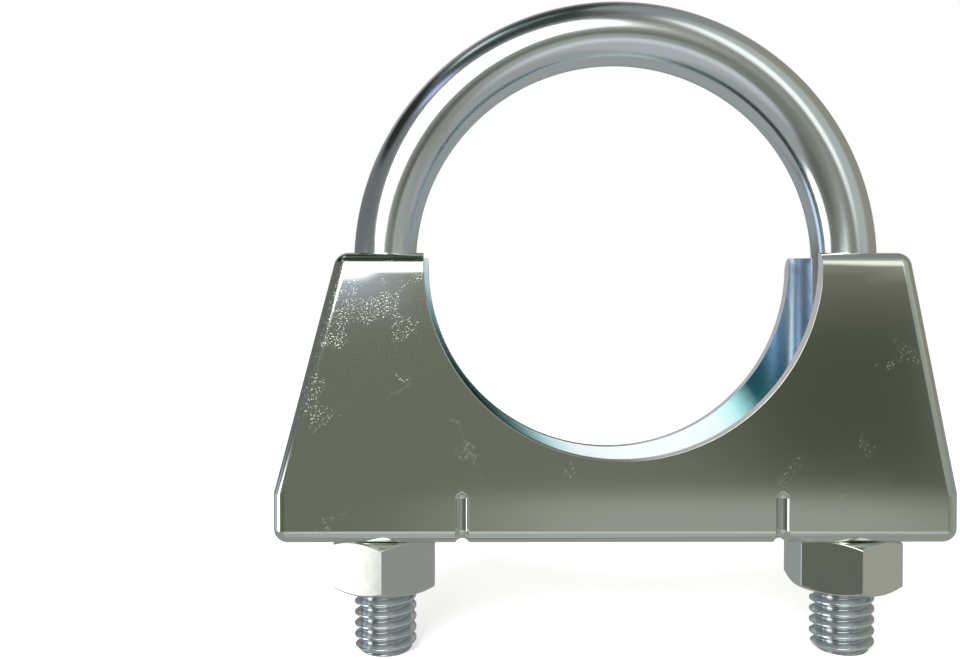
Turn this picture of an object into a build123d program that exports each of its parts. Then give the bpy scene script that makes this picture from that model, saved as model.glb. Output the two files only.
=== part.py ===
from build123d import *
import os
from itertools import pairwise
from math import ceil, floor, radians, sqrt, tan

# U-bolt pipe clamp: a round bar bent into a U with threaded legs, a pressed
# sheet-steel saddle that slides on the legs, and two hexagon nuts under it.
#
# Millimetres. The origin is the centre of the bow, on the axis of the clamped
# pipe. +Y runs along the pipe, +X from leg to leg and +Z up into the bow.

# Round bar
bar_diameter = 7.94
leg_spacing = 59.1  # between the axes of the two legs
leg_drop = 49.7  # from the pipe axis down to the leg ends
tip_chamfer = 0.95

# Thread of the legs and nuts: 18 threads to the inch, right-handed
thread_pitch = 25.4 / 18
flank_angle = 30  # of each flank from a plane square to the leg
crest_flat = thread_pitch / 8
thread_depth = 0.78
thread_length = 22.0
thread_clearance = 0.10  # radial, between leg and nut

# Hexagon nuts
nut_across_flats = 12.7
nut_height = 6.75
nut_chamfer_angle = 30
nut_face_radius = 6.15  # of the round face that the chamfer leaves
nut_mouth_chamfer = 0.35  # of the threaded hole, beyond the thread's crest
nut_turn = {"nut_left": 2.0, "nut_right": -2.0}  # degrees from a corner facing -Y

# Pressed saddle
sheet = 1.7
saddle_depth = 14.33  # over both side plates, along the pipe
bend_radius = 1.8  # outside of every bend
inner_bend_radius = 0.3
cradle_radius = 24.3  # of the half-round cut that holds the pipe
horn_rise = 1.15  # tops of the horns above the pipe axis
saddle_drop = 34.55  # underside below the pipe axis
foot_height = 6.15  # of the upright part at each end
horn_reach_left = 34.9
horn_reach_right = 35.4
foot_reach_left = 42.8
foot_reach_right = 41.5
leg_clearance = 0.35  # radial, between a leg and the saddle
cut_edge_radius = 0.2  # on the sheared edges of the cradle

# Stiffening darts pressed inwards across the lower bends
dart_reach = 19.57  # from the middle of the saddle
dart_height = 6.5  # above the underside
dart_run = 3.6  # along the underside, from the plate's face
dart_radius = 0.95  # of the round-nosed groove
dart_depth = 0.5

bar_radius = bar_diameter / 2
leg_x = leg_spacing / 2
plate_y = saddle_depth / 2
nut_top = -saddle_drop
nut_bottom = nut_top - nut_height
leg_end = -leg_drop
thread_end = leg_end + thread_length

os.makedirs("parts", exist_ok=True)


def saddle_outline(inset):
    """Sketch of the saddle seen along the pipe, drawn in by inset all round."""
    with BuildSketch(Plane.XZ) as outline:
        with BuildLine():
            Polyline(
                (-horn_reach_left, horn_rise),
                (horn_reach_right, horn_rise),
                (foot_reach_right, foot_height - saddle_drop),
                (foot_reach_right, -saddle_drop),
                (-foot_reach_left, -saddle_drop),
                (-foot_reach_left, foot_height - saddle_drop),
                close=True,
            )
        make_face()
        if inset:
            offset(amount=-inset, kind=Kind.INTERSECTION)
    return outline.sketch


def end_face(strips, height):
    """Flat face that closes a thread's strips where a level plane trimmed them."""
    rim = [edge for strip in strips for edge in strip.edges().filter_by_position(Axis.Z, height, height)]
    return Face(Wire.combine(rim)[0])


def threaded_bar(radius, bottom, top):
    """Right-handed threaded bar about the Z axis, with flat ends.

    One turn is four strips ruled between helices: a flank, the crest, the other
    flank and the root. The crests of every such bar lie on one helix, whatever
    the bar's length and place, so a leg and a nut cut with them are in mesh.
    """
    root_radius = radius - thread_depth
    crest_half = crest_flat / 2
    foot_half = crest_half + thread_depth * tan(radians(flank_angle))
    profile = [
        (root_radius, -foot_half),
        (radius, -crest_half),
        (radius, crest_half),
        (root_radius, foot_half),
        (root_radius, thread_pitch - foot_half),
    ]
    leads = [Helix(thread_pitch, thread_pitch, r, center=(0, 0, z)) for r, z in profile]
    turn = [Face.make_surface_from_curves(lower, upper) for lower, upper in pairwise(leads)]
    first_turn = floor((bottom - leg_end) / thread_pitch) - 1
    last_turn = ceil((top - leg_end) / thread_pitch) + 1
    turn_heights = [leg_end + i * thread_pitch for i in range(first_turn, last_turn)]
    strips = [strip.moved(Location((0, 0, z))) for z in turn_heights for strip in turn]
    for height in (bottom, top):
        level = Plane.XY.offset(height)
        crossing = [s for s in strips if s.bounding_box().min.Z < height < s.bounding_box().max.Z]
        strips = [s for s in strips if s not in crossing]
        strips += [piece for s in crossing for piece in s.split(level, keep=Keep.ALL).faces()]
    strips = [s for s in strips if bottom < s.bounding_box().center().Z < top]
    return Solid(Shell(strips + [end_face(strips, bottom), end_face(strips, top)]))


def dart_path(x, side):
    """Centre line of a dart's groove: down one plate, round the bend and in below."""
    y_outside = side * (plate_y + dart_radius - dart_depth)
    z_outside = -saddle_drop - dart_radius + dart_depth
    bend_z = bend_radius - saddle_drop
    with BuildLine(Plane.YZ.offset(x)) as path:
        down = Line((y_outside, dart_height - dart_radius - saddle_drop), (y_outside, bend_z))
        TangentArc(down @ 1, (side * (plate_y - bend_radius), z_outside), tangent=down % 1)
        Line((side * (plate_y - bend_radius), z_outside), (side * (plate_y - dart_run), z_outside))
    return path.wires()[0]


# Threaded end of a leg, with a 45 degree tip
with BuildPart() as leg_thread:
    add(threaded_bar(bar_radius, leg_end, thread_end))
    with BuildSketch(Plane.XZ):
        with BuildLine():
            Polyline(
                (0, leg_end),
                (bar_radius - tip_chamfer, leg_end),
                (bar_diameter, leg_end + bar_radius + tip_chamfer),
                (bar_diameter, thread_end),
                (0, thread_end),
                close=True,
            )
        make_face()
    revolve(axis=Axis.Z, mode=Mode.INTERSECT)

# U-bolt: a plain bar swept round the bow, with a threaded end on each leg
with BuildPart() as u_bolt:
    with BuildLine(Plane.XZ) as bar_line:
        left_leg = Line((-leg_x, thread_end), (-leg_x, 0))
        ThreePointArc((-leg_x, 0), (0, leg_x), (leg_x, 0))
        Line((leg_x, 0), (leg_x, thread_end))
    with BuildSketch(Plane(origin=left_leg @ 0, z_dir=left_leg % 0)):
        Circle(bar_radius)
    sweep(path=bar_line.wires()[0])
    with Locations((-leg_x, 0, 0), (leg_x, 0, 0)):
        add(leg_thread.part)
u_bolt.part.label = "u_bolt"
export_step(u_bolt.part, "parts/u_bolt.step")


# Saddle: a drawn sheet-steel box, cut open by the cradle and by the leg slots
with BuildPart() as cavity:
    with BuildSketch(Plane.XZ):
        add(saddle_outline(sheet))
    extrude(amount=plate_y - sheet, both=True)
    fillet(cavity.edges(), inner_bend_radius)

with BuildPart() as darts:
    for x in (-dart_reach, dart_reach):
        for side in (-1, 1):
            groove_line = dart_path(x, side)
            with BuildSketch(Plane(origin=groove_line @ 0, z_dir=groove_line % 0)):
                Circle(dart_radius)
            sweep(path=groove_line)
            with Locations(groove_line @ 0, groove_line @ 1):
                Sphere(dart_radius)

with BuildPart() as dart_beads:
    bead_radius = dart_radius + sheet
    for x in (-dart_reach, dart_reach):
        for side in (-1, 1):
            groove_line = dart_path(x, side)
            top, end = groove_line @ 0, groove_line @ 1
            with BuildSketch(Plane.XY.offset(end.Z)):
                with Locations((x, top.Y)):
                    Circle(bead_radius)
            extrude(amount=top.Z - end.Z)
            with BuildSketch(Plane.XZ.offset(-top.Y)):
                with Locations((x, end.Z)):
                    Circle(bead_radius)
            extrude(amount=top.Y - end.Y)
            with Locations(top, end):
                Sphere(bead_radius)
    add(cavity.part, mode=Mode.INTERSECT)

with BuildPart() as saddle:
    with BuildSketch(Plane.XZ):
        add(saddle_outline(0))
    extrude(amount=plate_y, both=True)
    fillet(saddle.edges(), bend_radius)
    add(cavity.part, mode=Mode.SUBTRACT)
    add(dart_beads.part)
    add(darts.part, mode=Mode.SUBTRACT)
    leg_hole_radius = bar_radius + leg_clearance
    with BuildSketch(Plane.XY.offset(-saddle_drop)):
        with Locations((-leg_x, 0), (leg_x, 0)):
            Circle(leg_hole_radius)
    extrude(amount=2 * sheet, mode=Mode.SUBTRACT)
    with BuildSketch(Plane.XY.offset(horn_rise)):
        with Locations((-leg_x, 0), (leg_x, 0)):
            Circle(leg_hole_radius)
        Rectangle(leg_spacing, 2 * (plate_y - sheet))
    extrude(amount=-horn_rise - cradle_radius / 2, mode=Mode.SUBTRACT)
    with BuildSketch(Plane.XZ):
        Circle(cradle_radius)
        with Locations((0, horn_rise)):
            Rectangle(2 * cradle_radius, 2 * horn_rise)
    extrude(amount=saddle_depth, both=True, mode=Mode.SUBTRACT)
    cradle_arcs = saddle.edges().filter_by(GeomType.CIRCLE).filter_by(lambda arc: arc.radius == cradle_radius)
    fillet(cradle_arcs.group_by(Axis.Y)[0] + cradle_arcs.group_by(Axis.Y)[-1], cut_edge_radius)
saddle.part.label = "saddle"
export_step(saddle.part, "parts/saddle.step")


# Nuts: one under each end of the saddle, in mesh with the thread of its leg
tap_radius = bar_radius + thread_clearance
tap = threaded_bar(tap_radius, nut_bottom - thread_pitch, nut_top + thread_pitch)
nut_corner_radius = nut_across_flats / sqrt(3)
chamfer_drop = (nut_corner_radius - nut_face_radius) * tan(radians(nut_chamfer_angle))
mouth_radius = tap_radius + nut_mouth_chamfer
mouth_depth = nut_mouth_chamfer + thread_depth + thread_clearance
for name, x in (("nut_left", -leg_x), ("nut_right", leg_x)):
    with BuildPart() as nut:
        with BuildSketch(Plane.XY.offset(nut_bottom)):
            RegularPolygon(nut_across_flats / 2, 6, major_radius=False, rotation=30 + nut_turn[name])
        extrude(amount=nut_height)
        with BuildSketch(Plane.XZ):
            with BuildLine():
                Polyline(
                    (0, nut_bottom),
                    (nut_face_radius, nut_bottom),
                    (nut_corner_radius, nut_bottom + chamfer_drop),
                    (nut_corner_radius, nut_top - chamfer_drop),
                    (nut_face_radius, nut_top),
                    (0, nut_top),
                    close=True,
                )
            make_face()
        revolve(axis=Axis.Z, mode=Mode.INTERSECT)
        add(tap, mode=Mode.SUBTRACT)
        for face in (Plane.XY.offset(nut_bottom), Plane(origin=(0, 0, nut_top), z_dir=(0, 0, -1))):
            with Locations(face):
                Cone(
                    mouth_radius,
                    mouth_radius - mouth_depth,
                    mouth_depth,
                    align=(Align.CENTER, Align.CENTER, Align.MIN),
                    mode=Mode.SUBTRACT,
                )
    nut.part = nut.part.moved(Location((x, 0, 0)))
    nut.part.label = name
    export_step(nut.part, f"parts/{name}.step")
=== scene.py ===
# %% [markdown]
# # A U-bolt pipe clamp in bright zinc
# The clamp is four pieces of plated steel: a round bar bent into a U, a pressed
# sheet saddle that slides on its legs, and two hexagon nuts. Polished metal shows
# every flat facet, so each piece is rebuilt here as a smooth surface worked out
# from a formula, at the places and sizes of the CAD model.

# %% The CAD frame
import math
import bpy
import numpy as np
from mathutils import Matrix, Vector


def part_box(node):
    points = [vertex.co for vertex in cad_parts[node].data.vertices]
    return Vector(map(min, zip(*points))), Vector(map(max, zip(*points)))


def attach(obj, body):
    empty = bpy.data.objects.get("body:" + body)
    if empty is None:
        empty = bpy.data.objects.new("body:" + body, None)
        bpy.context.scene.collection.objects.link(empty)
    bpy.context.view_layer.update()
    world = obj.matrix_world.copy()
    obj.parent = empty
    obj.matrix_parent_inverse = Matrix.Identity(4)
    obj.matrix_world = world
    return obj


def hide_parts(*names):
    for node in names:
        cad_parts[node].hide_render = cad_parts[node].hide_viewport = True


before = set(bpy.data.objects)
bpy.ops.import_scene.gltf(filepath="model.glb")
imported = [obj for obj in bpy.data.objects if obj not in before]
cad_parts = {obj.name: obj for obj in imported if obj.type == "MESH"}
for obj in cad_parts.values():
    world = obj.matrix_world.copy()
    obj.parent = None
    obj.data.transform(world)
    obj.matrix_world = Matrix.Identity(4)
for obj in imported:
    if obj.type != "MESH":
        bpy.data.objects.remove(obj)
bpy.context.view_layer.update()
scene = bpy.context.scene
print("CAD nodes:", sorted(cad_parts))

# %% [markdown]
# ## Sizes
# All the work is in millimetres, turned to metres when a mesh is made. Places come
# from the boxes of the CAD nodes, so no piece needs fitting, and the sizes that a
# box can't give are named here.

# %% Sizes in millimetres
MM = 0.001


def box_mm(node):
    """Lowest and highest corner of a CAD node, in millimetres."""
    low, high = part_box(node)
    return np.array(low) / MM, np.array(high) / MM


bolt_low, bolt_high = box_mm("u_bolt")
bar_radius = bolt_high[1]
leg_x = bolt_high[0] - bar_radius
leg_end = bolt_low[2]
tip_chamfer = 0.95
thread_pitch = 25.4 / 18  # 18 threads to the inch
thread_depth = 0.78
thread_length = 22.0
thread_top = leg_end + thread_length
thread_clearance = 0.10  # radial, between leg and nut

saddle_low, saddle_high = box_mm("saddle")
plate_y = saddle_high[1]
horn_top = saddle_high[2]
underside = saddle_low[2]
horn_reach = {-1: 34.9, 1: 35.4}  # left and right
foot_reach = {-1: -saddle_low[0], 1: saddle_high[0]}
foot_height = 6.15
sheet = 1.7
bend_radius = 1.8  # outside of a bend
inner_bend = 0.3
cradle_radius = 24.3
cut_edge = 0.07  # rounding of the cradle's cut edges
leg_clearance = 0.35  # radial, between leg and saddle
hole_radius = bar_radius + leg_clearance

nut_low, nut_high = box_mm("nut_left")
nut_bottom = nut_low[2]
nut_top = nut_high[2]
nut_across = 12.7  # from flat to flat
nut_face = 6.15  # radius of the round face that the chamfer leaves
nut_corner = 0.12  # rounding of the hexagon's corners
nut_turn = {"nut_left": 2.0, "nut_right": -2.0}  # degrees
mouth_chamfer = 0.35
mouth_radius = bar_radius + thread_clearance + mouth_chamfer
print(f"bar {2 * bar_radius:.2f} mm, legs {2 * leg_x:.2f} mm apart, saddle {2 * plate_y:.2f} mm deep")

# %% [markdown]
# ## From surfaces to a mesh
# A surface is a grid of points with a grid of normals beside it. The normals come
# from the formula, so a curve of a few dozen faces reflects like a true one. Such
# patches make a closed piece: points that coincide are welded, and a quad whose
# corners meet at a pole becomes a triangle. Subdividing a rough cage would be less
# work, but it only comes near the true sizes.


# %% Patches, welded into pieces
WELD = 1e-4  # millimetres
OFF_STEP = 0.37  # keeps round sizes away from where rounding could go either way


def unit(vectors):
    """Vectors scaled to length one."""
    return vectors / np.maximum(np.linalg.norm(vectors, axis=-1, keepdims=True), 1e-12)


def cells(grid):
    """The four corners of each cell of a grid, in order round it."""
    return np.stack([grid[:-1, :-1], grid[1:, :-1], grid[1:, 1:], grid[:-1, 1:]], axis=2)


def quads(points, normals):
    """Corners and corner normals of a patch's quads, wound to face along the normals."""
    spots = cells(points).reshape(-1, 4, 3)
    ways = cells(normals).reshape(-1, 4, 3)
    across = np.cross(spots[:, 2] - spots[:, 0], spots[:, 3] - spots[:, 1])
    if np.sum(across * ways.mean(axis=1)) < 0:
        spots = spots[:, ::-1]
        ways = ways[:, ::-1]
    return spots, ways


def welded(patches):
    """Patches joined where their points coincide, as arrays for a mesh.

    They are the points, each face's number of corners and finish, and each corner's
    point and normal. Repeated corners are dropped, and so are faces that are left
    with fewer than three.
    """
    grids = [quads(points, unit(normals)) for points, normals, *_ in patches]
    numbers = [patch[2] if len(patch) > 2 else 0 for patch in patches]
    spots = np.concatenate([grid[0] for grid in grids])
    ways = np.concatenate([grid[1] for grid in grids])
    finishes = np.concatenate([np.full(len(grid[0]), number) for grid, number in zip(grids, numbers)])
    keys = np.round(spots.reshape(-1, 3) / WELD + OFF_STEP).astype(np.int64)
    _, first, which = np.unique(keys, axis=0, return_index=True, return_inverse=True)
    ids = which.reshape(-1, 4)
    kept = ids != np.roll(ids, 1, axis=1)
    sides = kept.sum(axis=1)
    whole = (sides == 4) & (ids[:, 0] != ids[:, 2]) & (ids[:, 1] != ids[:, 3])
    used = whole | (sides == 3)
    kept = kept[used]
    return spots.reshape(-1, 3)[first], sides[used], finishes[used], ids[used][kept], ways[used][kept]


def open_edges(sides, corner_ids):
    """How many edges aren't shared by exactly two faces: none, on a closed mesh."""
    next_ids = np.roll(corner_ids, -1)
    next_ids[np.cumsum(sides) - 1] = corner_ids[np.cumsum(sides) - sides]
    edges = np.sort(np.stack([corner_ids, next_ids], axis=1), axis=1)
    _, uses = np.unique(edges, axis=0, return_counts=True)
    return int(np.sum(uses != 2))


def make_piece(name, patches, body, node):
    """Welds patches into one closed mesh that rides on a body and stands for a CAD node.

    A patch may end with the number of its finish, where a piece has more than one.
    """
    points, sides, finishes, corner_ids, corner_ways = welded(patches)
    mesh = bpy.data.meshes.new(name)
    mesh.vertices.add(len(points))
    mesh.vertices.foreach_set("co", (points * MM).ravel())
    mesh.loops.add(len(corner_ids))
    mesh.loops.foreach_set("vertex_index", corner_ids)
    mesh.polygons.add(len(sides))
    mesh.polygons.foreach_set("loop_start", np.cumsum(sides) - sides)
    mesh.polygons.foreach_set("loop_total", sides)
    mesh.polygons.foreach_set("material_index", finishes)
    mesh.update(calc_edges=True)
    mesh.normals_split_custom_set(corner_ways.tolist())
    piece = bpy.data.objects.new(name, mesh)
    scene.collection.objects.link(piece)
    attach(piece, body)
    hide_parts(node)
    print(f"{name}: {len(sides)} faces, {len(points)} points, {open_edges(sides, corner_ids)} open edges")
    return piece


def moved(patch, shift=(0, 0, 0), scale=(1, 1, 1)):
    """A patch mirrored by a scale of ones and minus ones, then shifted."""
    points, normals, *finish = patch
    return points * np.array(scale) + np.array(shift), normals * np.array(scale), *finish


# %% [markdown]
# ## Threads
# A rolled thread is a helix of soft-edged ridges. A Screw modifier on a profile
# could draw it, but its ends would need cutting level. Here the surface is the
# radius as a function of the angle and the height, so the level ends, the fading
# groove and the cone of the tip are part of the formula. The grid's rows follow the
# helix: each row lies along a crest, a flank or a root, and the ridge stays crisp
# with few faces.


# %% Thread surface
AROUND = 96  # faces round a leg
STEP = 1e-4  # millimetres, for slopes
THREAD_SOFTNESS = 0.09  # millimetres of depth over which a crest or root is rounded
FADE_TURNS = 2  # over which the groove runs out at the top of a leg's thread
FLANK_ROWS = np.array([-0.12, 0, 0.12, 0.5, 0.88, 1, 1.12])  # as shares of a flank
crest_half = thread_pitch / 12  # a little wider than the CAD's, because its edges are rounded
flank_slope = math.tan(math.radians(30))
flank_run = thread_depth * flank_slope
round_angles = np.linspace(0, 2 * math.pi, AROUND + 1)


def soft_ramp(x, softness):
    """x where it is positive and 0 where it isn't, with a rounded corner between."""
    corner = (x + softness) ** 2 / (4 * softness)
    return np.where(x > softness, x, np.where(x < -softness, 0.0, corner))


def smooth(x):
    """0 below 0, 1 above 1, and a smooth S between."""
    x = np.clip(x, 0, 1)
    return x * x * (3 - 2 * x)


def about_axis(radius, angle, height):
    """Points at a radius, an angle and a height about the Z axis."""
    return np.stack(np.broadcast_arrays(radius * np.cos(angle), radius * np.sin(angle), height), axis=-1)


def groove_depth(angle, height):
    """Depth of the thread's groove below its crest.

    It depends only on how far the point is, along the leg, from the nearest crest:
    none on the crest, then down the flank, then level in the root.
    """
    turns = (height - leg_end) / thread_pitch - angle / (2 * math.pi)
    away = np.abs(turns - np.round(turns)) * thread_pitch
    down = (away - crest_half) / flank_slope
    return soft_ramp(down, THREAD_SOFTNESS) - soft_ramp(down - thread_depth, THREAD_SOFTNESS)


def leg_radius(angle, height):
    """Radius of a threaded leg: the groove fades out at its top, and a 45 degree cone cuts the tip."""
    fade = smooth((thread_top - height) / (FADE_TURNS * thread_pitch))
    thread = bar_radius - groove_depth(angle, height) * fade
    tip = bar_radius - tip_chamfer + (height - leg_end)
    return np.minimum(thread, tip)


def nut_bore_radius(angle, height):
    """Radius of a nut's tapped hole: the leg's thread and a clearance, opened by a cone at each face."""
    thread = bar_radius + thread_clearance - groove_depth(angle, height)
    to_face = np.minimum(height - nut_bottom, nut_top - height)
    return np.maximum(thread, mouth_radius - to_face)


def helical_rows(bottom, top):
    """Heights, at angle 0, of rows that follow the crests, flanks and roots of each turn."""
    one_side = np.concatenate([[0], flank_run * FLANK_ROWS + crest_half])
    one_turn = np.concatenate([one_side, [thread_pitch / 2], thread_pitch - one_side[:0:-1]])
    first = math.floor((bottom - leg_end) / thread_pitch) - 1
    last = math.ceil((top - leg_end) / thread_pitch) + 1
    starts = leg_end + thread_pitch * np.arange(first, last)
    return (starts[:, None] + one_turn[None, :]).ravel()


def turned_surface(radius, bottom, top, sign, angles=round_angles):
    """Patch r(angle, height) about the Z axis, on helical rows cut off level at both ends.

    The normal is radial, less the surface's slope along the axis and round it. The
    sign is 1 for an outside and -1 for a hole.
    """
    rows = helical_rows(bottom, top)
    heights = np.clip(rows[:, None] + thread_pitch * angles[None, :] / (2 * math.pi), bottom, top)
    angle = np.broadcast_to(angles, heights.shape)
    r = radius(angle, heights)
    along = (radius(angle, heights + STEP) - radius(angle, heights - STEP)) / (2 * STEP)
    turn = STEP / r
    round_it = (radius(angle + turn, heights) - radius(angle - turn, heights)) / (2 * STEP)
    outward = about_axis(1.0, angle, 0.0)
    sideways = np.stack([-np.sin(angle), np.cos(angle), np.zeros_like(r)], axis=-1)
    normals = outward - along[..., None] * np.array([0, 0, 1.0]) - round_it[..., None] * sideways
    return about_axis(r, angle, heights), sign * normals


print(f"thread: {thread_length / thread_pitch:.1f} turns, {thread_depth} mm deep")

# %% [markdown]
# ## The U-bolt
# The bar is drawn wire, cut and rolled straight, then bent cold round a former. A
# bevelled curve would make it, but its rings wouldn't meet the thread's. So it is a
# circle carried along its centre line, and the circle's points match the top ring
# of each leg's thread.


# %% Bar and legs
BOW_STEPS = 120
LEG_STEPS = 7  # from the top of a thread to the bow


def bar_patch():
    """Circle carried along the U: centre + radius x (outwards x cos + towards +Y x sin).

    Outwards is a direction in the U's own plane. It stays along X on the legs and
    turns with the bow between them.
    """
    bow = np.linspace(math.pi, 0, BOW_STEPS + 1)
    leg = np.linspace(thread_top, 0, LEG_STEPS + 1)[:-1]
    left = np.full(LEG_STEPS, -1.0)
    right = np.full(LEG_STEPS, 1.0)
    out_x = np.concatenate([left, np.cos(bow), right])
    out_z = np.concatenate([0 * left, np.sin(bow), 0 * right])
    height = np.concatenate([leg, leg_x * np.sin(bow), leg[::-1]])
    centres = np.stack([leg_x * out_x, 0 * out_x, height], axis=-1)
    outward = np.stack([out_x, 0 * out_x, out_z], axis=-1)
    normals = (np.cos(round_angles)[None, :, None] * outward[:, None, :]
               + np.sin(round_angles)[None, :, None] * np.array([0, 1.0, 0]))
    return centres[:, None, :] + bar_radius * normals, normals


def tip_disc():
    """The level end of a leg: rings from the axis to the edge of its cone, all facing down."""
    ring_radius = np.array([0.0, bar_radius - tip_chamfer])[:, None]
    points = about_axis(ring_radius, round_angles, leg_end)
    return points, np.broadcast_to([0, 0, -1.0], points.shape)


leg_patches = (turned_surface(leg_radius, leg_end, thread_top, 1), tip_disc())
bolt_patches = [bar_patch()]
bolt_patches += [moved(patch, (side * leg_x, 0, 0)) for side in (-1, 1) for patch in leg_patches]
u_bolt = make_piece("u_bolt_bar", bolt_patches, "u_bolt", "u_bolt")

# %% [markdown]
# ## The nuts
# A hexagon nut is cut from bar and turned on both faces, so a shallow cone crosses
# its six flats and leaves the arched corners. It could be cut with Booleans, but
# they leave long thin faces that polished metal shows. Here the outside is a radius
# as a function of the angle, and the cone's height follows from that radius.


# %% Hexagon nuts
TURN_STEP = 1e-5  # radians, for slopes
CHAMFER_SLOPE = math.tan(math.radians(30))
CHAMFER_EDGE = 0.12  # millimetres, the rounding where the cone meets a flat
FACE_EDGE = 0.08  # millimetres, the rounding where the cone meets the round face
EDGE_IN = 0.03  # place of the ring in the middle of the cone's outer edge
EDGE_DOWN = 0.02


def hexagon_radius(angle):
    """Distance from the axis to the side of a hexagon with slightly rounded corners.

    Within a sixth of a turn the side is a straight line, apart from the corner's
    arc, which is met at the distance where a ray crosses the arc's circle.
    """
    half = nut_across / 2
    from_corner = np.mod(angle + math.pi / 6, math.pi / 3) - math.pi / 6
    straight = half / np.cos(math.pi / 6 - np.abs(from_corner))
    centre = (half - nut_corner) / math.cos(math.pi / 6)
    offset = centre * np.sin(from_corner)
    arc = centre * np.cos(from_corner) + np.sqrt(np.maximum(nut_corner ** 2 - offset ** 2, 0))
    arc_ends = np.arctan2(nut_corner * math.sin(math.pi / 6), centre + nut_corner * math.cos(math.pi / 6))
    return np.where(np.abs(from_corner) < arc_ends, arc, straight)


def nut_angles(turn):
    """Angles round a nut that is turned by some degrees, with more of them at its rounded corners.

    A sixth holds the degrees from one corner to the next.
    """
    sixth = np.concatenate([np.linspace(-1, 1, 9), [2], np.linspace(5, 55, 10), [58]])
    corners = np.arange(6) * 60
    around = (corners[:, None] + sixth[None, :]).ravel()
    closing = sixth[0] + 360
    return np.radians(np.concatenate([around, [closing]]) + 30 + turn)


def nut_patches(turn):
    """Outside of a nut as rings of a radius, a depth and a normal at every angle, and its tapped hole."""
    angle = nut_angles(turn)
    level = np.zeros_like(angle)
    from_corner = angle - math.radians(30 + turn)
    side = hexagon_radius(from_corner)
    change = hexagon_radius(from_corner + TURN_STEP) - hexagon_radius(from_corner - TURN_STEP)
    facing = about_axis(1.0, angle, 0.0)
    along = np.stack([-np.sin(angle), np.cos(angle), level], axis=-1)
    flat_side = unit(facing - (change / (2 * TURN_STEP) / side)[:, None] * along)
    drop = np.maximum(side - nut_face, 0) * CHAMFER_SLOPE
    patches = []
    for face, way in ((nut_top, 1), (nut_bottom, -1)):
        up = np.array([0, 0, float(way)]) + 0 * facing
        cone = unit(facing * CHAMFER_SLOPE + up)
        rings = [
            (mouth_radius + level, level, up),
            (nut_face - FACE_EDGE + level, level, up),
            (nut_face + FACE_EDGE + level, FACE_EDGE * CHAMFER_SLOPE + level, cone),
            (np.maximum(side - CHAMFER_EDGE, nut_face + FACE_EDGE),
             np.maximum(drop - CHAMFER_EDGE * CHAMFER_SLOPE, FACE_EDGE * CHAMFER_SLOPE), cone),
            (side - EDGE_IN, drop + EDGE_DOWN, unit(cone + flat_side)),
            (side, drop + CHAMFER_EDGE, flat_side),
        ]
        points = np.stack([facing * r[:, None] + [0, 0, 1] * (face - way * deep)[:, None]
                           for r, deep, _ in rings])
        patches.append((points, np.stack([normal for _, _, normal in rings])))
    top_edge = patches[0][0][-1]
    bottom_edge = patches[1][0][-1]
    patches.append((np.stack([top_edge, bottom_edge]), np.stack([flat_side, flat_side])))
    patches.append(turned_surface(nut_bore_radius, nut_bottom, nut_top, -1, angle))
    return patches


nuts = []
for name, side in (("nut_left", -1), ("nut_right", 1)):
    patches = [moved(patch, (side * leg_x, 0, 0)) for patch in nut_patches(nut_turn[name])]
    nuts.append(make_piece(f"{name}_hexagon", patches, name, name))

# %% [markdown]
# ## The saddle
# The saddle is drawn from one sheet: two plates joined by the underside, the feet,
# the slanting ends and the tops of the horns. A bevelled box would come near, but
# it shades unevenly where the slanting ends meet the plates. So it is the path of a
# ball that rolls inside the outline seen along the pipe. Where the ball touches is
# a point and the way from its centre is the normal, so plates, bends and round
# corners come from one rule. A quarter is made for each side, and mirrored to the
# back.


# %% Outline of the saddle
CORNER_STEPS = 10
SLANT_STEPS = 14
SLOT_STEPS = 6  # from a leg's axis to the cradle
HOLE_STEPS = 24  # across a leg's hole, and half as many round the end of its slot
DART_MARGIN = 1.2  # to each side of a dart, where columns are close together
# Degrees from straight down at which the columns of each stretch end on the cradle
FAN = {"under": 50, "heel": 52, "foot": 54, "knee": 55, "slant": 84, "horn": 85.5, "rim": 87}
RIM_START = 85.6
dart_reach = 19.57  # from the middle of the saddle


def inset_corners(side, inset, clear_hole):
    """Foot, knee and horn of the outline with its edges moved in by inset, and the slant's direction.

    The direction is the angle, from level, in which the slanting end faces.
    """
    foot_x = foot_reach[side]
    knee = np.array([foot_x, underside + foot_height])
    along = unit(np.array([horn_reach[side], horn_top]) - knee)
    start = knee - inset * np.array([along[1], -along[0]])
    foot = np.array([foot_x - inset, underside + inset])
    knee = start + along * (foot[0] - start[0]) / along[0]
    horn = start + along * (horn_top - inset - start[1]) / along[1]
    if clear_hole:
        horn[0] = max(horn[0], leg_x + hole_radius)
    along = unit(horn - knee)
    return foot, knee, horn, math.atan2(-along[0], along[1])


def stretch(x, z, turn, cradle, opening=0.0):
    """Columns from values that are either the same all along or one for each column."""
    return np.stack(np.broadcast_arrays(x, z, turn, np.radians(cradle), opening), axis=-1)


def steps(start, stop, count=CORNER_STEPS):
    """Even steps that leave out the start, where the stretch before has ended."""
    return np.linspace(start, stop, count + 1)[1:]


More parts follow.
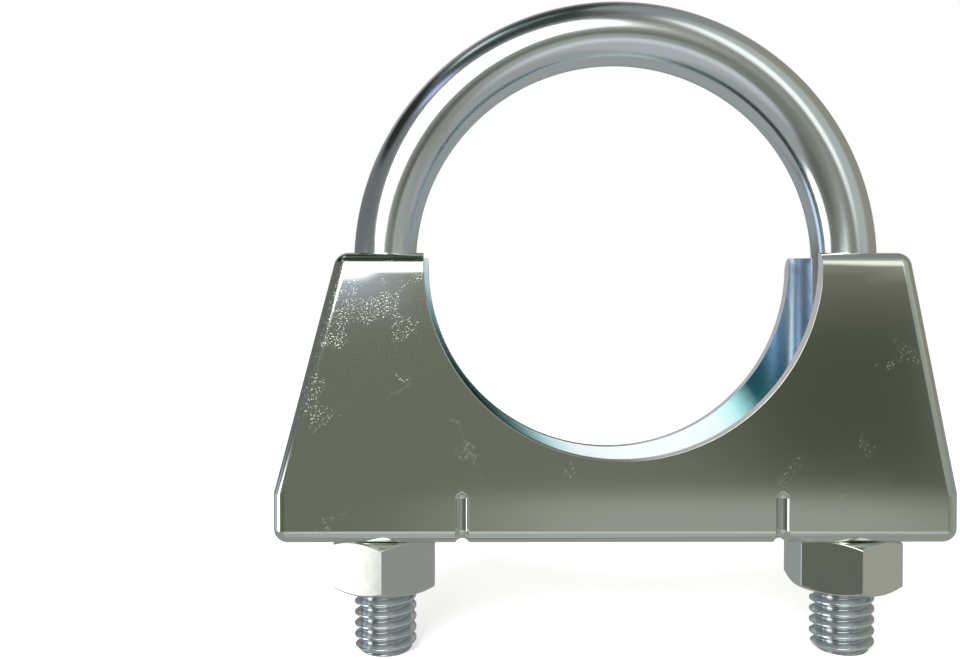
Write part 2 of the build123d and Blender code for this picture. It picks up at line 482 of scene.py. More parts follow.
def outline_columns(side, inset, ball, clear_hole=False):
    """Ball centres and outward angles at steps along the outline, with what depends on them.

    Each column also has the angle, from straight down, of its point on the cradle,
    and the half width of the leg's hole or slot there.
    """
    foot, knee, horn, slant = inset_corners(side, inset, clear_hole)
    low = underside + inset
    top = horn_top - inset
    half_turn = np.linspace(0, math.pi, HOLE_STEPS + 1)
    hole = hole_radius * np.cos(half_turn)
    half = hole_radius * np.sin(half_turn)
    near = np.concatenate([
        np.linspace(0, dart_reach - DART_MARGIN, 7)[:-1],
        dart_reach + np.linspace(-DART_MARGIN, DART_MARGIN, 31),
        np.linspace(dart_reach + DART_MARGIN, leg_x - hole_radius, 5)[1:-1],
    ])
    under = np.concatenate([near, leg_x - hole, steps(leg_x + hole_radius, foot[0], 4)])
    openings = np.zeros(len(under))
    openings[len(near):len(near) + len(hole)] = half
    to_axis = HOLE_STEPS // 2 + 1
    rim = (leg_x + hole)[:to_axis]
    rim_turn = np.arccos(np.clip((rim - horn[0]) / ball, 0, 1))
    slot_end = math.degrees(math.acos(-top / cradle_radius))
    slot_width = plate_y - sheet
    return np.concatenate([
        stretch(under, low, -math.pi / 2, FAN["under"] * under / foot[0], openings),
        stretch(foot[0], low, steps(-math.pi / 2, 0), steps(FAN["under"], FAN["heel"])),
        stretch(foot[0], steps(low, knee[1], 3), 0.0, steps(FAN["heel"], FAN["foot"], 3)),
        stretch(knee[0], knee[1], steps(0, slant, 4), steps(FAN["foot"], FAN["knee"], 4)),
        stretch(steps(knee[0], horn[0], SLANT_STEPS), steps(knee[1], top, SLANT_STEPS), slant,
                steps(FAN["knee"], FAN["slant"], SLANT_STEPS)),
        stretch(horn[0], top, steps(slant, rim_turn[0]), steps(FAN["slant"], FAN["horn"])),
        stretch(np.minimum(rim, horn[0]), top, rim_turn, np.linspace(RIM_START, FAN["rim"], to_axis),
                half[:to_axis]),
        stretch(leg_x, top, math.pi / 2, [FAN["rim"]], slot_width),
        stretch(steps(leg_x, cradle_radius, SLOT_STEPS), top, math.pi / 2,
                steps(FAN["rim"], slot_end, SLOT_STEPS), slot_width),
    ])


print("outline:", len(outline_columns(1, bend_radius, bend_radius)), "columns in a quarter")

# %% [markdown]
# ## The darts
# Four small grooves, pressed by a round-nosed tool, stiffen the lower bends. The
# formula moves points that are already there, so nothing has to be cut and the
# normals stay smooth round a groove.

# %% Darts
dart_depth = 0.5
dart_radius = 0.95  # of the tool's nose
dart_height = 6.5  # above the underside
dart_run = 3.6  # along the underside, from the plate's face
dart_lip = 0.07  # depth over which the groove's edge is rounded
dart_top = underside + dart_height - dart_radius
dart_inner = -(plate_y - dart_run)


def dart_depth_at(away):
    """Depth at a distance from the centre line: the height of a circle's arc over the sheet."""
    arc = np.sqrt(np.maximum(dart_radius ** 2 - away ** 2, 0)) - (dart_radius - dart_depth)
    return soft_ramp(arc, dart_lip)


def dart(points, normals):
    """Presses the darts into points on the outside of the saddle.

    The centre line runs down the plate, round the bend and in below. Each point
    moves in by the depth at its distance from that line, and its normal leans by
    the depth's slope.
    """
    across = points[..., 0] - dart_reach
    above = np.maximum(points[..., 2] - dart_top, 0)
    within = np.maximum(points[..., 1] - dart_inner, 0)
    away = np.sqrt(across ** 2 + above ** 2 + within ** 2)
    slope = (dart_depth_at(away + STEP) - dart_depth_at(away - STEP)) / (2 * STEP) / np.maximum(away, 1e-9)
    lean = np.stack([across, within, above], axis=-1) * slope[..., None]
    return points - dart_depth_at(away)[..., None] * normals, unit(normals + lean)


print(f"darts: {dart_depth} mm deep, {dart_reach} mm from the middle")

# %% [markdown]
# ## The saddle's two skins
# The sheet has an outer and an inner skin, a sheet's thickness apart, joined by its
# cut edges. Solidify would add the second skin, but its bends would come out too
# sharp inside, so both are worked out. Pressed sheet starts to turn a little before
# its bends, which draws a reflection out there, and leaning the normals shows that.

# %% Skins of the saddle
LEAN = math.radians(3)
BOTTOM_RUN = 7.0  # millimetres above the bottom bend over which the plate leans
TOP_RUN = 1.0  # millimetres below the top bend
EDGE_FADE = math.radians(6)  # of the cradle's arc, over which its rounding fades out at the slot
RAIL_Z = -27.3  # height of the rail above the darts
RAIL_SHARE = 0.3  # further out, the rail's share of the way from the bend to the cradle
FAN_START = 24.0  # distance from the middle at which the columns start to spread
FAN_RUN = 10.0
CRADLE_ROWS = 4
BEND_ROWS = 13
WALL_ROWS = 16
WALL_SPREAD = 1.3  # more than 1 puts the rows of the underside closer to the bend


def leaning(height):
    """Normals of a plate: along the pipe, but leaning as a bend comes near.

    They lean down by up to 3 degrees near the bottom bend, and up near the top one.
    """
    near_bottom = 1 - (height - underside - bend_radius) / BOTTOM_RUN
    near_top = 1 - (horn_top - bend_radius - height) / TOP_RUN
    lean = LEAN * (smooth(near_bottom) - smooth(near_top))
    return np.concatenate([0 * lean, -np.cos(lean), -np.sin(lean)], axis=-1)


def saddle_skin(side, outer):
    """Outer or inner skin of a quarter of the saddle, as a plate and what wraps round from it.

    The plate's rows run from the cradle to the bend, by way of a rail that keeps
    the columns upright where the darts are. In the bend a row is the ball's touch
    point: centre + ball x (direction outwards x sin + towards -Y x cos). The rows
    after it cross the side to the middle, or to the edge of the leg's hole or slot.
    """
    if outer:
        inset, ball, plate, plate_rows = bend_radius, bend_radius, plate_y, 26
    else:
        inset, ball, plate, plate_rows = sheet + inner_bend, inner_bend, plate_y - sheet, 3
    x, z, turn, cradle, opening = outline_columns(side, inset, ball, clear_hole=not outer).T
    centre = np.stack([x, 0 * x, z], axis=-1)
    outward = np.stack([np.cos(turn), 0 * x, np.sin(turn)], axis=-1)
    forward = np.array([0, -1.0, 0])

    edge = cut_edge * smooth((cradle[-1] - cradle) / EDGE_FADE) if outer else 0 * x
    cradle_way = np.stack([np.sin(cradle), 0 * x, -np.cos(cradle)], axis=-1)
    on_cradle = cradle_way * (cradle_radius + edge)[:, None]
    on_cradle[-1] = centre[-1]
    on_underside = z < underside + 3
    spread = np.where(on_underside, smooth((x - FAN_START) / FAN_RUN), 1.0)[:, None]
    upright = np.stack([x, 0 * x, 0 * x + RAIL_Z], axis=-1)
    rail = (1 - spread) * upright + spread * (centre + RAIL_SHARE * (on_cradle - centre))
    rail[-1] = centre[-1]
    above = np.linspace(0, 1, CRADLE_ROWS + 1)[:-1, None, None]
    below = np.linspace(0, 1, plate_rows)[:, None, None]
    flat_rows = np.concatenate([on_cradle + (rail - on_cradle) * above, rail + (centre - rail) * below])
    flat_rows[..., 1] = -plate
    facing = leaning(flat_rows[..., 2:]) if outer else np.broadcast_to(forward, flat_rows.shape)

    last = np.arccos(np.clip((opening - plate + ball) / ball, 0, 1))[:, None]
    tilt = last * np.linspace(0, 1, BEND_ROWS)[:, None, None]
    bend = centre + forward * (plate - ball) + ball * (outward * np.sin(tilt) + forward * np.cos(tilt))
    bend_face = leaning(centre[..., 2:]) if outer else forward
    bend_ways = outward * np.sin(tilt) + bend_face * np.cos(tilt)
    share = np.linspace(0, 1, WALL_ROWS + 1)[1:, None] ** WALL_SPREAD
    wall = np.repeat(bend[-1:], WALL_ROWS, axis=0)
    wall[..., 1] += (-opening - bend[-1, :, 1]) * share
    wrap = np.concatenate([bend, wall])
    wrap_ways = np.concatenate([bend_ways, np.broadcast_to(outward, wall.shape)])
    return {"plate": (flat_rows, facing), "wrap": (wrap, wrap_ways), "cradle_way": cradle_way,
            "edge": edge, "opening": opening}


# %% [markdown]
# ## The saddle's cut edges
# Where the sheet was cut, one strip joins the two skins: the sheared and slightly
# rounded edge of the cradle, the walls of the holes and slots, and the small cap
# where a slot meets the cradle. Each strip takes its end points from the skins, so
# everything welds and the piece is closed. A patch's number is its finish: 0 for
# the outside, 1 for the inside and 2 for the sheared edges.

# %% Quarters of the saddle
EDGE_ROWS = 7
INSIDE = 1
SHEARED = 2


def cradle_edge(outer, inner):
    """Rounded edge of the cradle and the band through the sheet behind it."""
    rim = outer["plate"][0][0]
    way = outer["cradle_way"]
    turn = np.linspace(0, math.pi / 2, EDGE_ROWS)[:, None, None]
    ways = np.array([0, -1.0, 0]) * np.cos(turn) - way * np.sin(turn)
    rounding = rim + outer["edge"][:, None] * ([0, 1.0, 0] + ways)
    band = np.stack([rounding[-1], inner["plate"][0][0]])
    return [(rounding, ways), (band, np.stack([-way, -way]), SHEARED)]


def hole_walls(outer, inner):
    """Walls of the leg's hole below and of its slot above, and the slot's small ledge.

    A wall joins the last rows of both skins. Round a leg it faces the leg's axis,
    and along the slot it faces across.
    """
    ends = outer["wrap"][0][-1]
    opening = outer["opening"]
    walls = np.stack([ends, inner["wrap"][0][-1]])
    to_axis = np.stack([leg_x - ends[:, 0], -ends[:, 1], 0 * opening], axis=-1)
    to_axis[opening > hole_radius] = [0, 1, 0]
    cut = np.flatnonzero(opening > 1e-6)
    below = cut[cut < len(opening) // 2]
    above = cut[cut > len(opening) // 2]
    slot = np.flatnonzero(opening > hole_radius)[0]
    runs = (slice(below[0] - 1, below[-1] + 2), slice(above[0] - 1, slot), slice(slot, None))
    patches = [(walls[:, run], np.stack([to_axis[run], to_axis[run]]), INSIDE) for run in runs]
    ledge = walls[:, slot - 1:slot + 1]
    patches.append((ledge, np.broadcast_to([-1.0, 0, 0], ledge.shape), INSIDE))
    return patches


def saddle_quarter(side):
    """All the patches of a front quarter, made to the right of the middle with a side's own reaches."""
    outer = saddle_skin(side, True)
    inner = saddle_skin(side, False)
    patches = [dart(*outer["plate"]), dart(*outer["wrap"])]
    patches += [(points, -normals, INSIDE) for points, normals in (inner["plate"], inner["wrap"])]
    patches += cradle_edge(outer, inner)
    patches += hole_walls(outer, inner)
    cap = np.stack([outer["wrap"][0][:, -1], inner["wrap"][0][:, -1]])
    patches.append((cap, np.broadcast_to([-1.0, 0, 0], cap.shape), SHEARED))
    return patches


saddle_patches = []
for side in (-1, 1):
    quarter = saddle_quarter(side)
    for way in (-1, 1):
        saddle_patches += [moved(patch, scale=(side, -way, 1)) for patch in quarter]
saddle = make_piece("saddle_pressing", saddle_patches, "saddle", "saddle")

# %% [markdown]
# ## Finishes
# Every piece is mild steel, zinc plated and passivated clear to blue. The plating
# is thin and copies what lies under it: drawn wire, rolled sheet, sheared edges or
# turned nuts. Metal has no colour of its own beyond the tint of its reflections, so
# the work is in the roughness, the bumps and the wear. Some colour is painted light
# and shade: in the thread's roots, inside the saddle and on its sheared edges.


# %% Colours and nodes
def colour(hex_code):
    """Linear colour of an sRGB hex code."""
    parts = np.array([int(hex_code[i:i + 2], 16) for i in (1, 3, 5)]) / 255
    linear = np.where(parts <= 0.04045, parts / 12.92, ((parts + 0.055) / 1.055) ** 2.4)
    return (*linear.tolist(), 1.0)


def feed(made, **inputs):
    """Gives a shader node its inputs: values, or the outputs of other nodes.

    An input's name is written with _ for each space, and in1 is the input with
    number 1. The colours that a Mix goes between are its inputs 6 and 7. A node
    given as an input stands for its own first output.
    """
    for name, value in inputs.items():
        numbered = name[:2] == "in" and name[2:].isdigit()
        socket = made.inputs[int(name[2:]) if numbered else name.replace("_", " ")]
        if isinstance(value, bpy.types.Node):
            value = value.outputs[0]
        if isinstance(value, bpy.types.NodeSocket):
            made.id_data.links.new(value, socket)
        else:
            socket.default_value = value


def node(tree, kind, settings=(), **inputs):
    """Adds a shader node, with its own properties as settings."""
    made = tree.nodes.new("ShaderNode" + kind)
    for name, value in dict(settings).items():
        setattr(made, name, value)
    feed(made, **inputs)
    return made


def new_material(name):
    """A material and its empty node tree."""
    material = bpy.data.materials.new(name)
    material.use_nodes = True
    material.node_tree.nodes.clear()
    return material, material.node_tree


def cover(piece, material):
    """Gives a piece its material, and prints which it is."""
    piece.data.materials.append(material)
    print(piece.name, "is", material.name)


# %% [markdown]
# ## Patterns and plate
# Wear, dents and lines all come from noise on the piece's own coordinates, turned
# to millimetres so that a pattern's scale is a real size. Image textures would need
# the surface unwrapped, and noise doesn't.


# %% Patterns sized in millimetres
def in_millimetres(tree):
    """The piece's own coordinates in millimetres."""
    place = node(tree, "TexCoord").outputs["Object"]
    return node(tree, "VectorMath", {"operation": "SCALE"}, in0=place, Scale=1 / MM)


def grain(tree, place, size, low, high, detail=2.0):
    """Noise of a grain size in millimetres: 0 where it is under low, 1 where it is over high."""
    noise = node(tree, "TexNoise", Vector=place, Scale=1 / size, Detail=detail).outputs["Fac"]
    return node(tree, "MapRange", Value=noise, From_Min=low, From_Max=high)


def zinc(name, tint, roughness):
    """Bright zinc plate: a mirror-like metal. Later nodes add its bumps, and vary its tint and gloss."""
    material, tree = new_material(name)
    shader = node(tree, "BsdfPrincipled", Base_Color=colour(tint), Metallic=1.0, Roughness=roughness)
    node(tree, "OutputMaterial", Surface=shader)
    return material, tree, shader


# %% [markdown]
# ## Zinc on drawn wire
# Drawing leaves faint lines along the bar. Their pattern depends only on the
# distance from the pipe's axis and on the depth, so it bends round with the bar.
# Real die lines are finer than a render shows, so these are drawn 0.35 mm wide. The
# thread is duller, and its colour is darker towards its root: painted shade for the
# light that the ridges keep out of the grooves. The distance from the leg's axis
# tells crest from root.

# %% Zinc on drawn wire
PLAIN_BAR = 5.0  # millimetres added above the thread, so that the plain bar counts as crest
wire_roughness = 0.15
thread_roughness = 0.2
wire_tint = "#E4ECEE"
# painted shade for the thread's roots
root_shade_tint = "#C4CBCE"
zinc_on_wire, tree, shader = zinc("zinc_on_drawn_wire", wire_tint, wire_roughness)
place = in_millimetres(tree)
x, y, z = node(tree, "SeparateXYZ", in0=place).outputs
above = node(tree, "Math", {"operation": "MAXIMUM"}, in0=z, in1=0.0)
in_bow = node(tree, "CombineXYZ", X=x, Y=above)
from_pipe = node(tree, "VectorMath", {"operation": "LENGTH"}, in0=in_bow)
across_bar = node(tree, "CombineXYZ", X=from_pipe.outputs["Value"], Y=y)
die_lines = grain(tree, across_bar, 0.35, 0.3, 0.7, 3.0)
lines = node(tree, "Bump", Height=die_lines, Distance=0.0006 * MM)
uneven = node(tree, "Bump", Height=grain(tree, place, 6.0, 0.2, 0.8, 1.0), Distance=0.012 * MM, Normal=lines)
feed(shader, Normal=uneven)

duller = node(tree, "MapRange", Value=z, From_Min=thread_top, From_Max=thread_top - 3,
              To_Min=wire_roughness, To_Max=thread_roughness)
feed(shader, Roughness=duller)
side_of_leg = node(tree, "Math", {"operation": "ABSOLUTE"}, in0=x)
from_leg = node(tree, "Math", {"operation": "SUBTRACT"}, in0=side_of_leg, in1=leg_x)
across_leg = node(tree, "CombineXYZ", X=from_leg, Y=y)
leg_distance = node(tree, "VectorMath", {"operation": "LENGTH"}, in0=across_leg)
plain_bar = node(tree, "MapRange", Value=z, From_Min=thread_top - 1, From_Max=thread_top + 1,
                 To_Max=PLAIN_BAR)
reach = node(tree, "Math", {"operation": "ADD"}, in0=leg_distance.outputs["Value"], in1=plain_bar)
crest = node(tree, "MapRange", Value=reach, From_Min=bar_radius - thread_depth, From_Max=bar_radius - 0.1)
# Painted shade: the roots take the darker colour, and the crests and plain bar the wire's own.
tint = node(tree, "Mix", {"data_type": "RGBA"}, in0=crest, in6=colour(root_shade_tint), in7=colour(wire_tint))
feed(shader, Base_Color=tint.outputs[2])
cover(u_bolt, zinc_on_wire)

# %% [markdown]
# ## Zinc on rolled sheet
# Rolled sheet is smoother than wire, and the passivation tints it a little towards
# yellow and green. The press leaves it slightly uneven. Pits a few tenths of a
# millimetre wide flash white beside a bright reflection. They come in clusters, and
# are thickest at the upper corner of the left horn, which rubbed in the barrel.

# %% Zinc on rolled sheet
rubbed_corner = (-33.0, -plate_y, -6.0)
zinc_on_sheet, tree, shader = zinc("zinc_on_rolled_sheet", "#D9E0D6", 0.08)
place = in_millimetres(tree)
uneven = node(tree, "Bump", Height=grain(tree, place, 14.0, 0.2, 0.8, 1.0), Distance=0.03 * MM)
to_corner = node(tree, "VectorMath", {"operation": "DISTANCE"}, in0=place, in1=rubbed_corner)
rubbed_end = node(tree, "MapRange", Value=to_corner.outputs["Value"], From_Min=17.0, From_Max=3.0,
                  To_Min=-0.03, To_Max=0.15)
clusters = grain(tree, place, 5.0, 0.0, 1.0, 4.0)
patchy = node(tree, "Math", {"operation": "ADD"}, in0=clusters, in1=rubbed_end)
worn = node(tree, "MapRange", Value=patchy, From_Min=0.60, From_Max=0.66)
pits = node(tree, "Math", {"operation": "MULTIPLY"}, in0=grain(tree, place, 0.2, 0.62, 0.70, 1.5), in1=worn)
pitted = node(tree, "Bump", Height=pits, Distance=-0.008 * MM, Normal=uneven)
feed(shader, Normal=pitted)
cover(saddle, zinc_on_sheet)

# %% [markdown]
# ## Zinc inside the saddle
# The colour inside the pressing is painted: whitish in the middle as painted light,
# and blue and teal towards both ends as painted reflections. The walls of the holes
# and slots have it too. A colour ramp runs along the saddle, slanted a little, and
# the whitish middle is less metallic and duller.

# %% Zinc inside the saddle
PAINTED_LIGHT_SLANT = 0.8  # millimetres along for each millimetre up
PAINTED_LIGHT_START = -35.0
PAINTED_LIGHT_END = 30.0
PAINTED_WHITE_MIDDLE = -12.7
PAINTED_WHITE_INNER = 14.0  # from its middle the painted white is whole this far out
PAINTED_WHITE_OUTER = 19.0  # and gone this far out
# Painted light and painted reflections from end to end: whitish in the middle, blue and teal towards the
# ends.
inside_painted_light = {-32: "#9DBBB1", -30: "#6F9296", -26.8: "#BFE4E8", -23.7: "#F8FBFA", -2: "#F8FBFA", 1: "#C8F8FA",
        3.5: "#B8F6F8", 6: "#A8DCE0", 9: "#88B4B0", 15: "#C4DCF6", 25: "#DCE8FC"}
zinc_inside, tree, shader = zinc("zinc_inside_the_pressing", "#F8FBFA", 0.4)
place = in_millimetres(tree)
x, _, z = node(tree, "SeparateXYZ", in0=place).outputs
along = node(tree, "Math", {"operation": "MULTIPLY_ADD"}, in0=z, in1=PAINTED_LIGHT_SLANT, in2=x)
painted_light_share = node(tree, "MapRange", Value=along, From_Min=PAINTED_LIGHT_START, From_Max=PAINTED_LIGHT_END)
ramp = node(tree, "ValToRGB", in0=painted_light_share)
ramp.color_ramp.interpolation = "B_SPLINE"
stops = ramp.color_ramp.elements
while len(stops) < len(inside_painted_light):
    stops.new(0.5)
for stop, (spot, hex_code) in zip(stops, inside_painted_light.items()):
    stop.position = (spot - PAINTED_LIGHT_START) / (PAINTED_LIGHT_END - PAINTED_LIGHT_START)
    stop.color = colour(hex_code)
feed(shader, Base_Color=ramp)
from_painted_white = node(tree, "Math", {"operation": "SUBTRACT"}, in0=along, in1=PAINTED_WHITE_MIDDLE)
from_painted_white = node(tree, "Math", {"operation": "ABSOLUTE"}, in0=from_painted_white)
# In the painted white middle the zinc is less metallic and duller.
for socket, in_white_middle, towards_ends in (("Metallic", 0.2, 1.0), ("Roughness", 0.4, 0.16)):
    fading = node(tree, "MapRange", Value=from_painted_white, From_Min=PAINTED_WHITE_INNER, From_Max=PAINTED_WHITE_OUTER,
                  To_Min=in_white_middle, To_Max=towards_ends)
    feed(shader, **{socket: fading})
texture = node(tree, "Bump", Height=grain(tree, place, 1.2, 0.3, 0.7, 3.0), Distance=0.006 * MM)
feed(shader, Normal=texture)
saddle.data.materials.append(zinc_inside)
print("film:", len(inside_painted_light), "colours from end to end")

# %% [markdown]
# ## Zinc on the sheared edges
# Shearing polishes a cut edge, and the plating copies that. On the left half of the
# cradle the edge is glossy and tinted teal-grey, a painted reflection. To the right
# it is whitish and duller, painted light. One step across the middle changes its
# tint, its gloss and how metallic it is.

# %% Zinc on the sheared edges
PAINTED_EDGE_STEP = 5.0  # millimetres to each side of the middle
zinc_on_edge, tree, shader = zinc("zinc_on_sheared_edges", "#D6D5DC", 0.08)
x, _, _ = node(tree, "SeparateXYZ", in0=in_millimetres(tree)).outputs
for socket, polished, whitish_right in (("Metallic", 1.0, 0.45), ("Roughness", 0.08, 0.4)):
    change = node(tree, "MapRange", Value=x, From_Min=-PAINTED_EDGE_STEP, From_Max=PAINTED_EDGE_STEP,
                  To_Min=polished, To_Max=whitish_right)
    feed(shader, **{socket: change})
to_right = node(tree, "MapRange", Value=x, From_Min=-PAINTED_EDGE_STEP, From_Max=PAINTED_EDGE_STEP)
# Painted reflection on the left, teal-grey, and painted light on the right, whitish.
tint = node(tree, "Mix", {"data_type": "RGBA"}, in0=to_right, in6=colour("#7F958F"), in7=colour("#CAC9D0"))
feed(shader, Base_Color=tint.outputs[2])
saddle.data.materials.append(zinc_on_edge)
print(saddle.name, "has", len(saddle.data.materials), "finishes")

# %% [markdown]
# ## Zinc on turned nuts
# Nuts are turned, then plated loose in a barrel, so they are duller than the sheet
# and have small dents. The dents are too shallow to model, and a bump shows them.

# %% Zinc on turned nuts
zinc_on_nut, tree, shader = zinc("zinc_on_turned_nut", "#E1E5DF", 0.15)
dents = grain(tree, in_millimetres(tree), 2.5, 0.3, 0.7, 2.0)
dented = node(tree, "Bump", Height=dents, Distance=0.003 * MM)
feed(shader, Normal=dented)
for nut in nuts:
    cover(nut, zinc_on_nut)

# %% [markdown]
# ## Camera
# The clamp is seen from the front, to the left of its middle and level with the
# horns of its saddle. The camera is only 12 cm away, so the near plate looks larger
# than the far one.

# %% Camera
camera_spot = np.array([-17.9, -120.37, -6.43])  # millimetres
look_down = 0.0161  # radians
look_right = 0.0046
camera_data = bpy.data.cameras.new("camera")
camera_data.lens = 35
camera_data.sensor_width = 36
camera_data.clip_start = 0.001
camera_data.clip_end = 50
camera = bpy.data.objects.new("camera", camera_data)
camera.location = camera_spot * MM
camera.rotation_euler = (math.pi / 2 - look_down, 0, -look_right)
scene.collection.objects.link(camera)
scene.camera = camera
print(f"camera {-camera_spot[1]:.0f} mm in front of the pipe's axis")

# %% [markdown]
# ## Floor
# The floor is a plain pale sheet that the clamp's shadow falls on. It glows a
# little, to stay pale under a soft lamp. Reflections see the room's ground instead.


# %% Floor
FLOOR_REACH = 6.0  # metres to each side
FLOOR_GLOW = 0.42


def stage_grid(name, points, material):
    """A grid of points, in metres, as a mesh that isn't part of the object."""
    rows, columns = points.shape[:2]
    ids = np.arange(rows * columns).reshape(rows, columns)
    faces = cells(ids).reshape(-1, 4)
    mesh = bpy.data.meshes.new(name)
    mesh.from_pydata(points.reshape(-1, 3).tolist(), [], faces.tolist())
    mesh.materials.append(material)
    material.cycles.emission_sampling = "NONE"
    staged = bpy.data.objects.new(name, mesh)
    scene.collection.objects.link(staged)
    return staged


floor_paint, tree = new_material("pale_floor")
paint = node(tree, "BsdfDiffuse", Color=colour("#F4F4F2"))
glow = node(tree, "Emission", Color=colour("#FFFFFF"), Strength=FLOOR_GLOW)
paint_and_glow = node(tree, "AddShader", in0=paint, in1=glow)
node(tree, "OutputMaterial", Surface=paint_and_glow)
sides = np.array([-FLOOR_REACH, FLOOR_REACH])
floor_points = np.stack(np.meshgrid(sides, sides, indexing="ij") + [np.full((2, 2), leg_end * MM)], axis=-1)
floor = stage_grid("floor", floor_points, floor_paint)
floor.visible_glossy = False
print("floor at", floor_points[0, 0, 2], "m")

# %% [markdown]
# ## Room seen in reflections
# Polished metal shows the room round it, so there is a room that only reflections
# see: pale walls, a dark drape behind the camera for the upright faces, and soft
# boxes and windows that draw the bright lines along round bars. Real lamps and
# cards would also light the object and add noise, so the room is a sphere whose
# colour depends on the direction.

# %% Tones and panels of the room
ROOM_RADIUS = 3.0  # metres
ROOM_STEP = 1.5  # degrees between the sphere's points
room_tones = {"left": "#727273", "right": "#999489", "dark ceiling": "#3A403D", "ceiling": "#939494",
              "ground": "#A3A3A2", "near ground": "#B8BABC", "underfoot": "#8C9092"}
# Name, (azimuth, elevation) of the middle, half size, softness of the edge, colour, strength
panels = [
    ("low wall", (30, -13), (100, 13), 6, "#9A9FA1"),
    ("drape behind the camera", (-168, -12), (49, 12), 5, "#777A6F"),
    ("darker end of the drape", (155, -4.5), (10, 6), 7, "#56574D"),
    ("bright wall to the right", (124, 30), (22, 32), 14, "#B9BBB8"),
    ("pale wall beside the drape", (138, -3), (13, 8), 5, "#A6A8A2"),
    ("strip box", (147, 31), (8.5, 23), 6, "#FAFAF8", 1.25),
    ("wide soft box", (-164, 25.1), (24, 21.0), 2, "#FFFFFC", 4.0),
    ("dark edge of the soft box", (169, 42), (5, 9), 5, "#5E605C"),
    ("glow above the lamp", (-80, 79), (28, 10), 8, "#74827F"),
    ("dark curtain", (-70, 40), (32, 11), 7, "#2E2D2B"),
    ("window", (-105, -12), (12.5, 14), 3, "#FFFFFF", 2.2),
    ("blue window", (-75, -11), (8, 13), 4, "#D6E8FF", 1.15),
    ("blue strip", (-122, 47), (12, 4.5), 4, "#C8D4FF", 1.0),
    ("lamp near the ceiling", (-66, 64), (17, 6.5), 6, "#D6DEE0"),
    ("pale wall ahead", (-4, 30), (34, 13), 12, "#B4B2B0"),
    ("teal wall ahead", (0, 0), (5, 5), 3, "#83A09F"),
    ("dark gap ahead", (6.5, -1), (3, 4), 2, "#36403F"),
    ("blue edge of the soft box", (-170.8, 3.0), (3, 1.6), 2.5, "#D8E3FF", 0.95),
    ("left end of the drape", (-142, -16), (14, 9), 5, "#66695F"),
    ("warm wall to the right", (98, -15), (10, 9), 5, "#ABAAA2"),
    ("foot of the drape", (164, -19.1), (16, 6), 7, "#A8AAA4"),
    ("light on the near ground", (176, -34), (32, 7), 8, "#D8D9DC"),
]
print("room:", len(room_tones), "tones and", len(panels), "panels")


# %% Room seen in reflections
def light_of(hex_code):
    """Light of an sRGB hex code, as an array that can be mixed."""
    return np.array(colour(hex_code)[:3])


def blend(low, high, share):
    """Colour between two colours, by a share from 0 to 1."""
    return low + (high - low) * share[..., None]


def add_panel(light, azimuth, elevation, place, half_size, softness, hex_code, strength=1.0):
    """Paints a panel with rounded corners and soft edges, all in degrees.

    Distance is the cube root of the summed cubes of the distances along both
    sides, as shares of the panel's half size, so 1 is the panel's edge.
    """
    across = ((azimuth - place[0] + 180) % 360 - 180) / half_size[0]
    up = (elevation - place[1]) / half_size[1]
    distance = (np.abs(across) ** 3 + np.abs(up) ** 3) ** (1 / 3)
    mask = smooth(0.5 + (1 - distance) * min(half_size) / softness)
    return blend(light, light_of(hex_code) * strength, mask)


def room_light(azimuth, elevation):
    """Light from each direction, in degrees. Azimuth 0 is behind the object, and -90 is to its left.

    The ceiling is palest at azimuth 95, and the ground behind the camera. The walls
    between them turn to ground from -22 degrees down to -30, and to ceiling from 48
    up to 62.
    """
    turn = np.radians(azimuth)
    tone = {name: light_of(hex_code) for name, hex_code in room_tones.items()}
    walls = blend(tone["left"], tone["right"], 0.5 + 0.5 * np.sin(turn))
    ceiling = blend(tone["dark ceiling"], tone["ceiling"], smooth(1.3 * np.cos(turn - math.radians(95))))
    ground = blend(tone["ground"], tone["near ground"], smooth(-3 * np.cos(turn) - 1.9))
    ground = blend(ground, tone["underfoot"], smooth((-80 - elevation) / 4))
    light = blend(ground, walls, smooth((elevation + 30) / 8))
    light = blend(light, ceiling, smooth((elevation - 48) / 14))
    for _, *looks in panels:
        light = add_panel(light, azimuth, elevation, *looks)
    return light


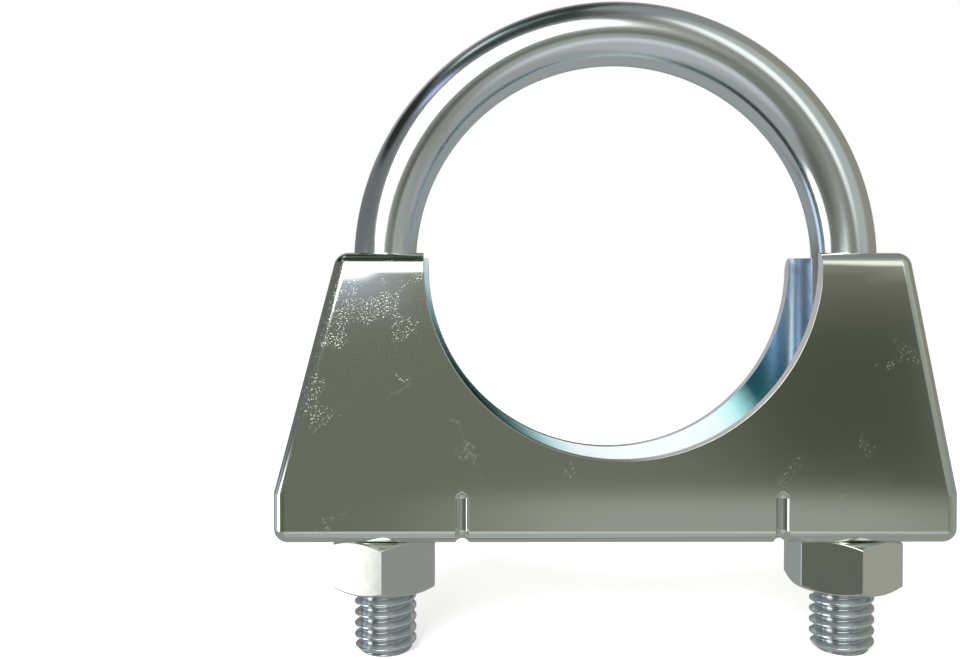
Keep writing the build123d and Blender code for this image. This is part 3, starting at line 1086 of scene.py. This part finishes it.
azimuths = np.arange(-180, 181, ROOM_STEP)
elevations = np.arange(-90, 91, ROOM_STEP)
azimuth, elevation = np.meshgrid(azimuths, elevations, indexing="ij")
az = np.radians(azimuth)
el = np.radians(elevation)
room_points = ROOM_RADIUS * np.stack([np.sin(az) * np.cos(el), np.cos(az) * np.cos(el), np.sin(el)], axis=-1)
room_paint, tree = new_material("room_in_reflections")
shade = node(tree, "Attribute", {"attribute_name": "light"})
shining = node(tree, "Emission", Color=shade.outputs["Color"])
node(tree, "OutputMaterial", Surface=shining)
room = stage_grid("room", room_points, room_paint)
values = np.ones((azimuth.size, 4))
values[:, :3] = room_light(azimuth, elevation).reshape(-1, 3)
room.data.attributes.new("light", "FLOAT_COLOR", "POINT").data.foreach_set("color", values.ravel())
for ray in ("camera", "diffuse", "transmission", "volume_scatter", "shadow"):
    setattr(room, f"visible_{ray}", False)
print("room:", len(values), "points")

# %% [markdown]
# ## World and lamp
# The world gives an even light from all round, and is plain white to the camera
# and to mirrored and passing rays that meet nothing else. One soft lamp in front,
# above and a little to the left gives the floor its faint shadow. Reflections see
# the room's lamps instead. Light bounces many times between the ridges of a thread
# and in the gap over a nut, so it is followed further than usual.

# %% World and lamp
WORLD_LIGHT = 0.65
LAMP_SIZE = 0.5  # metres
REFLECTIONS = 24
world = bpy.data.worlds.new("room")
scene.world = world
world.use_nodes = True
tree = world.node_tree
tree.nodes.clear()
rays = node(tree, "LightPath").outputs
sharp = node(tree, "Math", {"operation": "MAXIMUM"}, in0=rays["Is Camera Ray"], in1=rays["Is Glossy Ray"])
seen = node(tree, "Math", {"operation": "MAXIMUM"}, in0=sharp, in1=rays["Is Transmission Ray"])
plain = node(tree, "Background", Color=colour("#FFFFFF"), Strength=WORLD_LIGHT)
white = node(tree, "Background", Color=colour("#FFFFFF"), Strength=1.0)
mix = node(tree, "MixShader", in0=seen, in1=plain, in2=white)
node(tree, "OutputWorld", Surface=mix)

lamp_data = bpy.data.lights.new("soft_lamp", "AREA")
lamp_data.shape = "RECTANGLE"
lamp_data.size = LAMP_SIZE
lamp_data.size_y = LAMP_SIZE
lamp_data.energy = 10.0
lamp = bpy.data.objects.new("soft_lamp", lamp_data)
lamp.location = (-0.28, -0.82, 0.50)
lamp.rotation_euler = (-lamp.location).to_track_quat("-Z", "Y").to_euler()
lamp.visible_glossy = False
scene.collection.objects.link(lamp)
scene.view_settings.view_transform = "Standard"
scene.cycles.max_bounces = REFLECTIONS
scene.cycles.glossy_bounces = REFLECTIONS
print(f"lamp of {lamp_data.energy:.0f} W, {lamp.location.length:.2f} m away")
